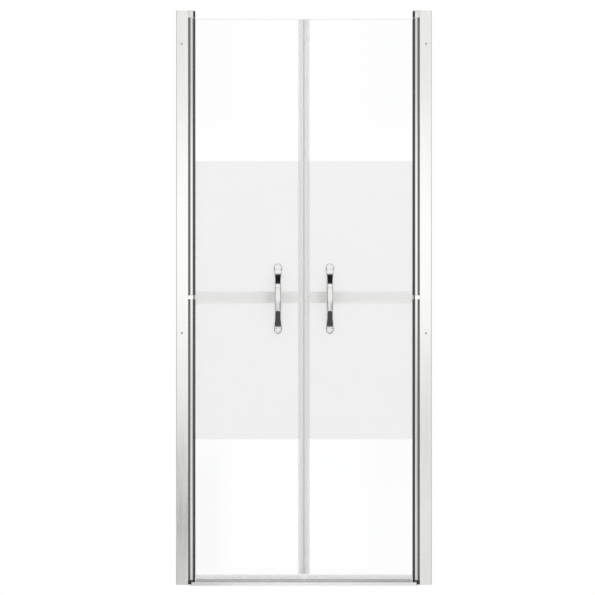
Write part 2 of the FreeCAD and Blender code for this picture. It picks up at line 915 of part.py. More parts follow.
def gasket(side, name, low, high):
    """Dark channel round the glass in the barrel's slot, with a bead on each face."""
    body = put(new_body(named(side, name)), x=side * hinge_x, z=low)
    sketch = new_sketch(body, "XY_Plane", "section")
    outer = slot_half - D.gasket_play
    inner = half_glass + D.gasket_play
    floor = D.slot_bottom + D.gasket_play
    bead_start = across(barrel_radius, slot_half) + D.bead_gap
    bead_end = bead_start + D.bead_width
    bead_top = outer + D.bead_height
    seat = D.glass_bite - D.gasket_play
    half = [
        (bead_end, inner),
        (bead_end, bead_top),
        (bead_start, bead_top),
        (bead_start, outer),
        (floor, outer),
    ]
    front = [(-side * x, -y) for x, y in half]
    back = [(-side * x, y) for x, y in reversed(half)]
    outline(sketch, front + back + [(-side * seat, inner), (-side * seat, -inner)])
    pad(body, sketch, high - low)
    return keep(body)


def joint_profile(side):
    """Clear H profile that joins the lower and the upper pane, with fine grooves along both faces."""
    body = put(new_body(named(side, "joint_profile")), x=side * hinge_x, z=D.mid_height)
    sketch = new_sketch(body, "YZ_Plane", "section", -side * D.joint_start)
    half_height = D.joint_height / 2
    half_joint = D.joint_depth / 2
    slot = half_glass + D.seal_play
    web = D.joint_web / 2
    outline(
        sketch,
        [
            (-half_joint, -half_height),
            (-slot, -half_height),
            (-slot, -web),
            (slot, -web),
            (slot, -half_height),
            (half_joint, -half_height),
            (half_joint, half_height),
            (slot, half_height),
            (slot, web),
            (-slot, web),
            (-slot, half_height),
            (-half_joint, half_height),
        ],
    )
    length = hinge_x - D.seal_reach - D.joint_end_gap - D.joint_start
    pad(body, sketch, length, reverse=side == RIGHT)
    grooves = new_sketch(body, "YZ_Plane", "grooves")
    for face in (FRONT, BACK):
        for step in (-1, 0, 1):
            middle = step * D.joint_groove_pitch
            rectangle(
                grooves,
                face * (half_joint - D.joint_groove_depth),
                middle - D.joint_groove / 2,
                face * (half_joint + D.overrun),
                middle + D.joint_groove / 2,
            )
    pocket(body, grooves, length + D.joint_start + D.overrun, reverse=side == LEFT)
    return keep(body)


def meeting_seal(side):
    """Clear seal on the free edge of both panes, with a chamber for the magnet strip."""
    body = put(new_body(named(side, "meeting_seal")), x=side * hinge_x, z=D.seal_start)
    sketch = new_sketch(body, "XY_Plane", "section")
    slot = half_glass + D.seal_play
    leg = slot + D.seal_leg
    leg_start = hinge_x - D.seal_reach
    bridge_start = glass_end + D.seal_play
    bridge_end = bridge_start + D.seal_bridge
    head = D.seal_depth / 2
    half = [(leg_start, slot), (leg_start, leg), (bridge_end, leg), (bridge_end, head), (leaf_reach, head)]
    front = [(-side * x, -y) for x, y in half]
    back = [(-side * x, y) for x, y in reversed(half)]
    outline(sketch, front + back + [(-side * bridge_start, slot), (-side * bridge_start, -slot)])
    slab(
        sketch,
        -side,
        bridge_end,
        leaf_reach - D.seal_wall,
        -(head - D.seal_wall),
        head - D.seal_wall,
    )
    pad(body, sketch, glass_top - D.seal_start)
    return keep(body)


def magnet_strip(side):
    """Magnet inside the meeting seal."""
    body = put(new_body(named(side, "magnet_strip")), x=side * hinge_x, z=D.seal_start + D.magnet_play)
    sketch = new_sketch(body, "XY_Plane", "section")
    chamber_start = glass_end + D.seal_play + D.seal_bridge
    half = D.seal_depth / 2 - D.seal_wall - D.magnet_play
    slab(
        sketch,
        -side,
        chamber_start + D.magnet_play,
        leaf_reach - D.seal_wall - D.magnet_play,
        -half,
        half,
    )
    pad(body, sketch, glass_top - D.seal_start - 2 * D.magnet_play)
    return keep(body)


def drip_seal(side):
    """Seal clipped on the bottom edge of the glass, with two fins down to the threshold bar."""
    body = put(new_body(named(side, "drip_seal")), x=side * hinge_x)
    sketch = new_sketch(body, "YZ_Plane", "section", -side * D.joint_start)
    slot = half_glass + D.seal_play
    leg = slot + D.drip_leg
    base_top = D.glass_bottom - D.seal_play
    base_bottom = base_top - D.drip_base
    fin_bottom = D.threshold_height + D.drip_gap
    fin_top = leg
    fin_tip = leg + D.drip_fin_spread
    outline(
        sketch,
        [
            (-leg, D.drip_top),
            (-leg, base_bottom),
            (-fin_tip, fin_bottom),
            (-(fin_tip - D.drip_fin), fin_bottom),
            (-(fin_top - D.drip_fin), base_bottom),
            (fin_top - D.drip_fin, base_bottom),
            (fin_tip - D.drip_fin, fin_bottom),
            (fin_tip, fin_bottom),
            (leg, base_bottom),
            (leg, D.drip_top),
            (slot, D.drip_top),
            (slot, base_top),
            (-slot, base_top),
            (-slot, D.drip_top),
        ],
    )
    pad(body, sketch, leaf_reach - D.joint_start, reverse=side == RIGHT)
    return keep(body)


# Turns round the tip of the foot, in degrees, and stations from the stud to the handle's middle, as shares
# of the way.
HANDLE_TIP_TURNS = (84, 70, 52, 35, 18)
HANDLE_STATION_SHARES = (0, 0.08, 0.16, 0.25, 0.34, 0.43, 0.52, 0.62, 0.8, 1)
# How late the foot narrows on its way to the waist.
HANDLE_TAPER_POWER = 1.05


def eased(share):
    """A share from 0 to 1 with a soft start and end."""
    share = min(max(share, 0), 1)
    return share * share * (3 - 2 * share)


def handle_width(height, half_spacing):
    """Width of the handle at a height from its middle: wide at the foot, narrow at the waist, and wider
    again at the grip."""
    waist_height = plain(D.handle_waist_height)
    up = max((height - waist_height) / (half_spacing - waist_height), 0)
    foot_share = eased(up**HANDLE_TAPER_POWER)
    grip_share = 1 - eased(height / waist_height)
    waist = plain(D.handle_waist_width)
    foot_part = (plain(D.handle_foot_width) - waist) * foot_share
    return waist + foot_part + (plain(D.handle_grip_width) - waist) * grip_share


def tip_section(half_spacing, degrees):
    """Section of the foot's round tip, where the way round it has turned by an angle from the stud."""
    radius = plain(D.handle_foot_width) / 2
    past = radius * math.sin(math.radians(degrees))
    bevelled = max(past - radius + plain(D.handle_tip_bevel), 0)
    width = 2 * radius * math.cos(math.radians(degrees))
    thickness = plain(D.handle_foot_height) - bevelled
    depth = plain(foot_seat) + thickness / 2
    return handle_section(half_spacing + past, width, thickness, plain(D.handle_foot_back_bevel), depth, 0)


def grip_section(half_spacing, way):
    """Section of the foot, the neck or the grip, at a share of the way from the stud to the middle."""
    height = half_spacing * (1 - way)
    neck_start = plain(D.handle_neck_start)
    neck_end = plain(D.handle_neck_end)
    rise = plain(D.handle_rise)
    climb = min(max((neck_start - height) / (neck_start - neck_end), 0), 1)
    slope = 6 * climb * (1 - climb) * rise / (neck_start - neck_end)
    foot = plain(D.handle_foot_height)
    thickness = foot + (plain(D.handle_grip_thickness) - foot) * eased(climb)
    thickness -= plain(D.handle_neck_thinning) * 4 * climb * (1 - climb)
    back_bevel = plain(D.handle_foot_back_bevel)
    back_bevel += (plain(D.handle_grip_back_bevel) - back_bevel) * eased(climb)
    bowed = plain(D.handle_grip_bow) * max(1 - (height / neck_end) ** 2, 0)
    depth = plain(foot_seat) + foot / 2 + rise * eased(climb) + bowed
    return handle_section(height, handle_width(height, half_spacing), thickness, back_bevel, depth, slope)


def handle_section(height, width, thickness, back_bevel, depth, slope):
    """Corners of a bevelled rectangle across the handle. depth is how far its middle stands off the glass,
    and slope is the rise of the neck there."""
    side = width / 2
    half = thickness / 2
    front = min(plain(D.handle_front_bevel), side / 2)
    back = min(back_bevel, side / 2)
    right = [(side - back, -half), (side, back - half), (side, half - front), (side - front, half)]
    left = [(-x, out) for x, out in reversed(right)]
    lean = math.atan(slope)
    return [(x, -depth - out * math.cos(lean), height + out * math.sin(lean)) for x, out in right + left]


def handle_shape():
    """Cast bow handle: two round feet, necks that rise from the glass, and a bowed grip, made as one loft
    with a threaded hole in each foot."""
    half_spacing = plain(D.handle_hole_spacing) / 2
    upper = [tip_section(half_spacing, degrees) for degrees in HANDLE_TIP_TURNS]
    upper += [grip_section(half_spacing, way) for way in HANDLE_STATION_SHARES]
    lower = [[(x, y, -z) for x, y, z in section] for section in reversed(upper[:-1])]
    wires = []
    for section in upper + lower:
        corners = [FreeCAD.Vector(*corner) for corner in section]
        wires.append(Part.makePolygon(corners + corners[:1]))
    shape = Part.makeLoft(wires, True, True)
    for end in (-1, 1):
        stud_hole = Part.makeCylinder(
            plain(D.stud_diameter / 2 + D.stud_fit),
            plain(D.stud_bite + D.stud_end_gap),
            FreeCAD.Vector(0, -plain(foot_seat), end * half_spacing),
            FreeCAD.Vector(0, -1, 0),
        )
        shape = shape.cut(stud_hole)
    return shape


def handle(side, name, face):
    """One bow handle, on the front or the back of a leaf."""
    piece = doc.addObject("Part::Feature", named(side, name))
    piece.Label = named(side, name)
    piece.Shape = handle_shape()
    turn = 0 if face == FRONT else 180
    piece.Placement = FreeCAD.Placement(
        FreeCAD.Vector(side * plain(D.handle_inset), 0, plain(handle_height)),
        FreeCAD.Rotation(FreeCAD.Vector(0, 0, 1), turn),
    )
    return keep(piece)


def stud_heights():
    """Heights of the two studs of a handle."""
    return {
        "lower": handle_height - D.handle_hole_spacing / 2,
        "upper": handle_height + D.handle_hole_spacing / 2,
    }


def handle_studs(side):
    """Threaded studs through the glass, which hold the outer and inner handle together."""
    studs = []
    half_length = foot_seat + D.stud_bite
    for name, height in stud_heights().items():
        body = put(new_body(f"{named(side, name)}_stud"), x=side * D.handle_inset, z=height)
        section = new_sketch(body, "XZ_Plane", "section")
        circle(section, D.stud_diameter / 2)
        pad(body, section, 2 * half_length, symmetric=True)
        studs.append(body)
    return keep(group(named(side, "handle_studs"), studs))


def handle_washers(side):
    """Clear washers between handle and glass. The front ones have a sleeve that goes through the glass."""
    washers = []
    bore = D.stud_diameter / 2 + D.stud_fit
    rim = D.washer_diameter / 2
    sleeve_end = half_glass - D.seal_play
    front_ring = [
        (bore, -foot_seat),
        (rim, -foot_seat),
        (rim, -half_glass),
        (sleeve_radius, -half_glass),
        (sleeve_radius, sleeve_end),
        (bore, sleeve_end),
    ]
    back_ring = [(bore, half_glass), (rim, half_glass), (rim, foot_seat), (bore, foot_seat)]
    for name, height in stud_heights().items():
        for face_name, ring in (("front", front_ring), ("back", back_ring)):
            body = put(new_body(f"{named(side, name)}_{face_name}_washer"), x=side * D.handle_inset, z=height)
            section = new_sketch(body, "XY_Plane", "section")
            outline(section, ring)
            revolve(body, section, "Y_Axis")
            washers.append(body)
    return keep(group(named(side, "handle_washers"), washers))


def side_frame(side):
    """Everything of one side that stays on the wall."""
    wall_profile(side)
    hinge_profile(side)
    top_block(side)
    top_bush(side)
    mid_knuckle(side)
    mid_bush(side)
    bottom_bearing(side)
    wiper_seals(side)
    profile_screws(side)
    bearing_screws(side)
    top_cap(side)


def leaf(side):
    """Everything of one side that swings."""
    barrel(side, "lower_barrel", barrel_bottom, lower_barrel_top)
    barrel(side, "upper_barrel", upper_barrel_bottom, barrel_top)
    pivot_pins(side)
    heights = stud_heights()
    notch_low = lower_barrel_top - D.knuckle_gap
    notch_high = upper_barrel_bottom + D.knuckle_gap
    pane(side, "lower_glass", D.glass_bottom, lower_pane_top, notch_low, lower_pane_top, heights["lower"])
    pane(
        side, "upper_glass", upper_pane_bottom, glass_top, upper_pane_bottom, notch_high, heights["upper"]
    )
    gasket(side, "lower_gasket", D.glass_bottom, notch_low)
    gasket(side, "upper_gasket", notch_high, glass_top)
    joint_profile(side)
    meeting_seal(side)
    magnet_strip(side)
    drip_seal(side)
    handle(side, "outer_handle", FRONT)
    handle(side, "inner_handle", BACK)
    handle_studs(side)
    handle_washers(side)


for side in (LEFT, RIGHT):
    side_frame(side)
    leaf(side)
threshold_bar()
threshold_caps()
doc.recompute()

for item in doc.Objects:
    if "Invalid" in item.State or "Error" in item.State:
        raise RuntimeError(f"{item.Name} did not build: {item.State}")
for piece in nodes:
    if piece.Shape.isNull() or not piece.Shape.isValid():
        raise RuntimeError(f"{piece.Label} has no valid shape")

os.makedirs("parts", exist_ok=True)
for piece in nodes:
    piece.Shape.exportStep(os.path.join("parts", f"{piece.Label}.step"))
print(f"wrote {len(nodes)} pieces")
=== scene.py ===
import math

import bmesh
import bpy
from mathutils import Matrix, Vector


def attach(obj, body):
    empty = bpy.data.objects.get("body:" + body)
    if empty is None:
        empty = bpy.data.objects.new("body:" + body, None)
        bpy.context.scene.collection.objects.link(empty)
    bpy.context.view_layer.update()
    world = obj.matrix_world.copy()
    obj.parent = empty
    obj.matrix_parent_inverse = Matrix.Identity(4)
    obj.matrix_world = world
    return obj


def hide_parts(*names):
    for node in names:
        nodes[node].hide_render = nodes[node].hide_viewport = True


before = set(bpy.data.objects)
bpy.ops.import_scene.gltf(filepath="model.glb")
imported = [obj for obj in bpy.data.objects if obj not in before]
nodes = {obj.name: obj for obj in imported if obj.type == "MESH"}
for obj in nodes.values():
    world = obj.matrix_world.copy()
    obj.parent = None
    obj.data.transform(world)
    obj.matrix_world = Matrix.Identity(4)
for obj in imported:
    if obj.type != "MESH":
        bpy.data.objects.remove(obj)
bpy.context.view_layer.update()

# Looks of the shower door: materials for every piece, finely modelled handles and screws, and the studio.
# Lengths are in metres, in the frame of the solids: X right, Y into the shower, Z up.

MM = 0.001
SIDES = {"left": -1, "right": 1}

# The handles have the solids' place, length, widths, thicknesses and rise. Their edges are rounder, the front
# of the grip is lightly crowned, and the necks start further out and rise more slowly at first.
HANDLE_X = 86 * MM
HANDLE_Z = 946.5 * MM
STUD_HALF_SPACING = 103.25 * MM
FOOT_SEAT = 3.5 * MM
FOOT_RADIUS = 13.25 * MM
FOOT_HEIGHT = 10 * MM
HANDLE_RISE = 31 * MM
GRIP_BOW = 0.8 * MM
GRIP_WIDTH = 20.6 * MM
GRIP_THICKNESS = 11.5 * MM
GRIP_CROWN = 0.45 * MM
WAIST_WIDTH = 18.4 * MM
WAIST_HEIGHT = 55 * MM
TAPER_POWER = 1.05
NECK_START = 103 * MM
NECK_END = 37.5 * MM
NECK_LENGTH = NECK_START - NECK_END
NECK_SKEW = 1.3
NECK_THINNING = 1.4 * MM

# Rounding of the handles' edges, and the share of the section that it may take where the section is small.
TIP_ROUND = 3.4 * MM
FOOT_FRONT_ROUND = 3.2 * MM
GRIP_FRONT_ROUND = 3 * MM
NECK_FRONT_SHARPENING = 1.4 * MM
FOOT_BACK_ROUND = 0.8 * MM
GRIP_BACK_ROUND = 3.4 * MM
FRONT_ROUND_WIDTH_SHARE = 0.98
FRONT_ROUND_THICKNESS_SHARE = 0.6
BACK_ROUND_WIDTH_SHARE = 0.9
BACK_ROUND_THICKNESS_SHARE = 0.35

# Steps of the handles' mesh. The middle sections stop just short of the studs, and the round ends have one
# section at each of these angles, in degrees.
CORNER_STEPS = 8
FLAT_STEPS = 5
MIDDLE_SECTIONS = 96
MIDDLE_SHARE = 0.995
END_ANGLES = range(4, 90, 7)

# Distance from the glass to the side frames' front and back faces, which the screws are driven into, where
# the screws sit on each side, and the sizes of a pan head screw.
FRAME_FACE = 17.5 * MM
FRONT = -1
BACK = 1
PROFILE_SCREW_X = 404 * MM
PROFILE_SCREW_HEIGHTS = (832.5 * MM, 1789.5 * MM)
BEARING_SCREW_X = 390.5 * MM
BEARING_SCREW_HEIGHTS = (7.3 * MM, 951 * MM, 1888.5 * MM)
SHANK_RADIUS = 1.95 * MM
SHANK_LENGTH = 9 * MM
HEAD_RADIUS = 3.3 * MM
HEAD_HEIGHT = 2 * MM
HEAD_RIM = 0.8 * MM
HEAD_FLAT_RADIUS = 2.2 * MM
SCREW_SIDES = 48
DOME_STEPS = 6
RECESS_ARM = 1.9 * MM
RECESS_HALF_WIDTH = 0.48 * MM
RECESS_DEPTH = 1.4 * MM
RECESS_TAPER = 0.5

# Edges sharper than these angles, in degrees, stay sharp in the smooth shading.
CAST_ANGLE = 40
SCREW_ANGLE = 35
TURNED_ANGLE = 30

# Heights of the frosted band, and the blur at its edges.
FROST_LOW = 480.5 * MM
FROST_HIGH = 1402.7 * MM
FROST_BLUR = 0.4 * MM

# Half the thickness of the seal walls that meet in the middle of the door and the top of the drip seal's
# fins, the two parts with painted shade, and the blur between two colours on one piece.
MEETING_WALL = 1.4 * MM
FIN_TOP = 17.5 * MM
EDGE_BLUR = 0.2 * MM

# The painted shade on the stiles, a black band where each round stile curves away towards the leaf, lies
# where more than this share of the surface's normal points at the leaf, and the ground edges of the glass
# where less than this share of it points forwards or backwards.
PAINTED_SHADE_SHARE = 0.3
PAINTED_SHADE_BLUR_SHARE = 0.02
GROUND_SHARE = 0.9
GROUND_BLUR_SHARE = 0.05

# Depths of the fine marks on the surfaces.
DIE_LINES = 0.04 * MM
POLISHING_MARKS = 0.03 * MM
TURNING_MARKS = 0.05 * MM
MOULD_GRAIN = 0.06 * MM
PLASTIC_LINES = 0.03 * MM
ETCHED_GRAIN = 0.03 * MM

# Colours of the metals, the rubbers and nylons, and the clear plastics and the glass.
FRAME_METAL = (0.93, 0.935, 0.915)
WALL_METAL = (0.62, 0.63, 0.62)
STILE_METAL = (0.87, 0.875, 0.86)
THRESHOLD_METAL = (0.98, 0.98, 0.965)
CLOUDED_METAL = (0.93, 0.94, 0.92)
BEARING_CHROME = (0.97, 0.972, 0.955)
HANDLE_CHROME = (0.76, 0.765, 0.755)
SCREW_STEEL = (0.66, 0.66, 0.64)
PIN_STEEL = (0.6, 0.6, 0.6)
# Black of the painted shade on the stiles' sides next to the glass.
PAINTED_SHADE_BLACK = (0.062, 0.062, 0.061)
WIPER_BLACK = (0.11, 0.11, 0.108)
GASKET_BLACK = (0.05, 0.05, 0.05)
NYLON_BLACK = (0.018, 0.018, 0.018)
NYLON_WHITE = (0.82, 0.82, 0.78)
MAGNET_WHITE = (0.68, 0.68, 0.665)
JOINT_CLEAR = (0.74, 0.745, 0.735)
SEAL_CLEAR = (0.96, 0.96, 0.96)
WASHER_CLEAR = (0.93, 0.93, 0.91)
THICK_PLASTIC = (0.5, 0.51, 0.5)
CLEAR_GLASS = (0.985, 0.992, 0.99)
FROSTED_GLASS = (0.89, 0.893, 0.889)
WHITER_FROST = (0.905, 0.908, 0.903)
GROUND_GLASS = (0.5, 0.58, 0.55)
PALER_GROUND_GLASS = (0.54, 0.61, 0.58)

# The floor, the two lamps and the camera, which stands a little left of the door's middle.
FLOOR_REACH = 30
FLOOR_DROP = 0.2 * MM
FLOOR_GREY = (0.92, 0.92, 0.92)
FLOOR_WHITE_SHARE = 0.97
LAMP_TARGET = (0, 0, 0.9)
LAMP_WIDTH = 2.4
KEY_PLACE = (2.6, -3.6, 3.4)
KEY_WATTS = 75
FILL_PLACE = (-2.8, -3.2, 2.2)
FILL_WATTS = 20
CAMERA_DISTANCE = 6.2
CAMERA_X = -21.3 * MM
CAMERA_Z = 950.3 * MM
CAMERA_RANGE = 100
VIEW_WIDTH = 1.9677
SENSOR_WIDTH = 36


def between(first, last, share):
    """The value at a share of the way from first to last."""
    return first + (last - first) * share


def eased(share):
    """A share from 0 to 1 with a soft start and end."""
    share = min(max(share, 0), 1)
    return share * share * (3 - 2 * share)


def eased_slope(share):
    """How steeply eased rises at a share."""
    return 6 * share * (1 - share)


def hump(share):
    """1 half way along and 0 at both ends."""
    return 4 * share * (1 - share)


def scaled(colour, factor, lift=0.0):
    """A colour made lighter or darker."""
    return tuple(factor * part + lift for part in colour)


class Nodes:
    """A node tree built by short calls, which take numbers, colours and links alike."""

    def __init__(self, tree):
        self.tree = tree
        tree.nodes.clear()

    def add(self, kind, inputs=None, **settings):
        """A new node, with its settings and its input values or links."""
        node = self.tree.nodes.new(kind)
        for key, value in settings.items():
            setattr(node, key, value)
        for key, value in (inputs or {}).items():
            self.feed(node.inputs[key], value)
        return node

    def feed(self, socket, value):
        """Links an output to a socket, or sets the socket's value."""
        if isinstance(value, bpy.types.NodeSocket):
            self.tree.links.new(value, socket)
        else:
            socket.default_value = value

    def math(self, operation, first, second=0.0):
        """The result of one operation on one or two values."""
        return self.add("ShaderNodeMath", {0: first, 1: second}, operation=operation).outputs["Value"]

    def parts(self, vector):
        """The X, Y and Z of a vector."""
        return self.add("ShaderNodeSeparateXYZ", {"Vector": vector}).outputs

    def ramp(self, value, limits, results, shape="LINEAR"):
        """Goes from the first result to the second as a value goes from the first limit to the second."""
        inputs = {
            "Value": value,
            "From Min": limits[0],
            "From Max": limits[1],
            "To Min": results[0],
            "To Max": results[1],
        }
        return self.add("ShaderNodeMapRange", inputs, interpolation_type=shape).outputs["Result"]

    def fade(self, value, limits, results):
        """A ramp with a soft start and end."""
        return self.ramp(value, limits, results, "SMOOTHSTEP")


class Shader(Nodes):
    """The nodes of one material."""

    def __init__(self, name):
        self.material = bpy.data.materials.new(name)
        self.material.use_nodes = True
        super().__init__(self.material.node_tree)
        self.output = self.add("ShaderNodeOutputMaterial")
        coordinates = self.add("ShaderNodeTexCoord").outputs
        self.place = coordinates["Object"]
        self.normal = coordinates["Normal"]

    def noise(self, scale, detail=4.0, roughness=0.5, stretch=(1, 1, 1)):
        """Noise from 0 to 1 at so many lumps per metre, times the stretch of each axis."""
        place = self.add("ShaderNodeMapping", {"Vector": self.place, "Scale": stretch}).outputs["Vector"]
        inputs = {"Vector": place, "Scale": scale, "Detail": detail, "Roughness": roughness}
        return self.add("ShaderNodeTexNoise", inputs).outputs["Fac"]

    def lines(self, across, along, detail, roughness, axis="Z"):
        """Noise in fine lines: so many lumps per metre across the axis and along it."""
        stretch = (across, across, along) if axis == "Z" else (along, across, across)
        return self.noise(1.0, detail, roughness, stretch)

    def spread(self, noise, low, high, limits=(0.3, 0.7)):
        """Spreads noise, most of which lies within the limits, over the range from low to high."""
        return self.ramp(noise, limits, (low, high))

    def above(self, value, edge, blur):
        """1 where a value is above an edge, and 0 below it."""
        return self.ramp(value, (edge - blur, edge + blur), (0.0, 1.0))

    def below(self, value, edge, blur):
        """1 where a value is below an edge, and 0 above it."""
        return self.ramp(value, (edge - blur, edge + blur), (1.0, 0.0))

    def tint(self, share, first, second, blend="MIX"):
        """A colour between first and second, or first blended with second."""
        mix = self.add("ShaderNodeMix", data_type="RGBA", blend_type=blend)
        self.feed(mix.inputs["Factor"], share)
        for socket, colour in ((mix.inputs[6], first), (mix.inputs[7], second)):
            self.feed(socket, colour if isinstance(colour, bpy.types.NodeSocket) else (*colour, 1))
        return mix.outputs[2]

    def bump(self, height, strength, depth):
        """A bump normal from a height."""
        inputs = {"Height": height, "Strength": strength, "Distance": depth}
        return self.add("ShaderNodeBump", inputs).outputs["Normal"]

    def principled(self, inputs):
        """A Principled shader."""
        return self.add("ShaderNodeBsdfPrincipled", inputs).outputs["BSDF"]

    def mix(self, share, first, second):
        """A shader between first and second."""
        return self.add("ShaderNodeMixShader", {0: share, 1: first, 2: second}).outputs["Shader"]

    def finish(self, surface, volume=None):
        """Ends the material in its surface and, where it has one, its volume."""
        self.feed(self.output.inputs["Surface"], surface)
        if volume:
            self.feed(self.output.inputs["Volume"], volume)
        return self.material


def extruded_metal(name, colour, roughness, axis="Z"):
    """Bright anodised aluminium: fine die lines along the profile, and a slightly cloudy sheen."""
    s = Shader(name)
    lines = s.lines(across=900, along=6, detail=3.0, roughness=0.6, axis=axis)
    clouds = s.noise(scale=5.0, detail=3.0)
    streaks = s.tint(s.spread(lines, 0.0, 1.0), scaled(colour, factor=0.93), colour)
    surface = {
        "Base Color": s.tint(s.spread(clouds, 0.0, 0.35), streaks, CLOUDED_METAL, "MULTIPLY"),
        "Metallic": 0.85,
        "Roughness": s.spread(lines, roughness * 0.8, roughness * 1.25),
        "Normal": s.bump(lines, strength=0.12, depth=DIE_LINES),
    }
    return s.finish(s.principled(surface))


def painted_shade_band(s):
    """1 on the painted shade of the stile and 0 beside it: a black band painted on the side of the stile that
    faces the leaf, in front of the glass and behind it, where the round stile curves away into shade."""
    to_wall = s.math("SIGN", s.parts(s.place)["X"])
    facing_wall = s.math("MULTIPLY", s.parts(s.normal)["X"], to_wall)
    return s.below(facing_wall, -PAINTED_SHADE_SHARE, PAINTED_SHADE_BLUR_SHARE)


def stile_metal(name, colour, roughness):
    """Bright aluminium of the round stiles, with painted shade on the side that faces the leaf: black, not
    metallic and rougher.
    """
    s = Shader(name)
    lines = s.lines(across=900, along=6, detail=3.0, roughness=0.6)
    # Painted shade: the side of the stile towards the leaf is painted black, as if in shade.
    strip = painted_shade_band(s)
    metal = s.tint(lines, scaled(colour, factor=0.95), colour)
    surface = {
        "Base Color": s.tint(strip, metal, PAINTED_SHADE_BLACK),
        "Metallic": s.ramp(strip, (0.0, 1.0), (1.0, 0.0)),
        "Roughness": s.ramp(strip, (0.0, 1.0), (roughness, 0.5)),
        "Normal": s.bump(lines, strength=0.08, depth=DIE_LINES),
    }
    return s.finish(s.principled(surface))


def chrome(name, colour, roughness):
    """Polished plating with faint polishing marks and fingerprints."""
    s = Shader(name)
    marks = s.noise(scale=220.0, detail=5.0, roughness=0.7, stretch=(3, 3, 1))
    smears = s.noise(scale=38.0, detail=4.0, roughness=0.6)
    surface = {
        "Base Color": s.tint(smears, scaled(colour, factor=0.96), colour),
        "Metallic": 1.0,
        "Roughness": s.spread(smears, roughness, roughness * 2.4, limits=(0.42, 0.75)),
        "Normal": s.bump(marks, strength=0.05, depth=POLISHING_MARKS),
    }
    return s.finish(s.principled(surface))


def steel(name, colour):
    """Plated steel with turning marks."""
    s = Shader(name)
    marks = s.noise(scale=700.0, detail=4.0, roughness=0.6)
    surface = {
        "Base Color": s.tint(marks, scaled(colour, factor=0.8), colour),
        "Metallic": 1.0,
        "Roughness": s.spread(marks, 0.24, 0.42),
        "Normal": s.bump(marks, strength=0.25, depth=TURNING_MARKS),
    }
    return s.finish(s.principled(surface))


def moulded(name, colour, roughness):
    """Moulded plastic with a fine spark-eroded grain."""
    s = Shader(name)
    grain = s.noise(scale=1600.0, detail=3.0, roughness=0.6)
    clouds = s.noise(scale=30.0, detail=3.0)
    surface = {
        "Base Color": s.tint(clouds, colour, scaled(colour, factor=1.06, lift=0.01)),
        "Roughness": s.spread(grain, roughness * 0.85, roughness * 1.2),
        "Normal": s.bump(grain, strength=0.25, depth=MOULD_GRAIN),
    }
    return s.finish(s.principled(surface))


def extruded_rubber(name, colour):
    """Soft extruded seal, with faint lines along it and a dusty sheen."""
    s = Shader(name)
    lines = s.lines(across=1500, along=2, detail=2.0, roughness=0.5)
    dust = s.noise(scale=60.0, detail=4.0, roughness=0.65)
    surface = {
        "Base Color": s.tint(dust, colour, scaled(colour, factor=1.2, lift=0.004)),
        "Roughness": s.spread(lines, 0.52, 0.62),
        "Normal": s.bump(lines, strength=0.15, depth=DIE_LINES),
        "Sheen Weight": 0.15,
        "Sheen Roughness": 0.5,
    }
    return s.finish(s.principled(surface))


def painted_meeting_shade(s):
    """1 on the seal wall that meets the other leaf, where shade is painted for the gap between the seals, and
    0 elsewhere.
    """
    distance = s.math("ABSOLUTE", s.parts(s.place)["X"])
    return s.below(distance, MEETING_WALL, EDGE_BLUR)


def painted_fin_shade(s):
    """1 on the soft fins under the drip seal, where shade is painted, and 0 above them."""
    return s.below(s.parts(s.place)["Z"], FIN_TOP, EDGE_BLUR)


def clear_plastic(name, colour, roughness, haze, density, axis="Z", painted_shade_part=None, shade=1.0):
    """Clear extruded plastic: what is behind it shows through a slight haze, with fine lines along it. Walls
    that are looked through lengthwise are darker, and one part of the profile can carry painted shade, darker
    in its body and in what shows through."""
    s = Shader(name)
    lines = s.lines(across=1200, along=0.5, detail=1.0, roughness=0.4, axis=axis)
    clouds = s.noise(scale=14.0, detail=3.0)
    body_colour = s.tint(clouds, scaled(colour, factor=0.985), colour)
    clear_colour = (*colour, 1)
    if painted_shade_part:
        part = painted_shade_part(s)
        body_colour = s.tint(part, body_colour, scaled(colour, shade))
        clear_colour = s.tint(part, colour, scaled(colour, shade))
    body = {
        "Base Color": body_colour,
        "Roughness": s.spread(lines, roughness * 0.9, roughness * 1.1),
        "IOR": 1.49,
        "Normal": s.bump(lines, strength=0.03, depth=PLASTIC_LINES),
    }
    see_through = s.add("ShaderNodeBsdfTransparent", {"Color": clear_colour}).outputs["BSDF"]
    milky = s.spread(lines, haze - 0.01, haze + 0.01)
    inside = s.add("ShaderNodeVolumeAbsorption", {"Color": (*THICK_PLASTIC, 1), "Density": density})
    return s.finish(s.mix(milky, see_through, s.principled(body)), inside.outputs["Volume"])


def frosted_band(s):
    """1 on the frosted band across the glass, and 0 above and below it."""
    height = s.parts(s.place)["Z"]
    above_low = s.above(height, FROST_LOW, FROST_BLUR)
    below_high = s.below(height, FROST_HIGH, FROST_BLUR)
    return s.math("MULTIPLY", above_low, below_high)


def ground_edge(s):
    """1 on the narrow ground edges of a pane, and 0 on its two faces."""
    facing = s.math("ABSOLUTE", s.parts(s.normal)["Y"])
    return s.below(facing, GROUND_SHARE, GROUND_BLUR_SHARE)


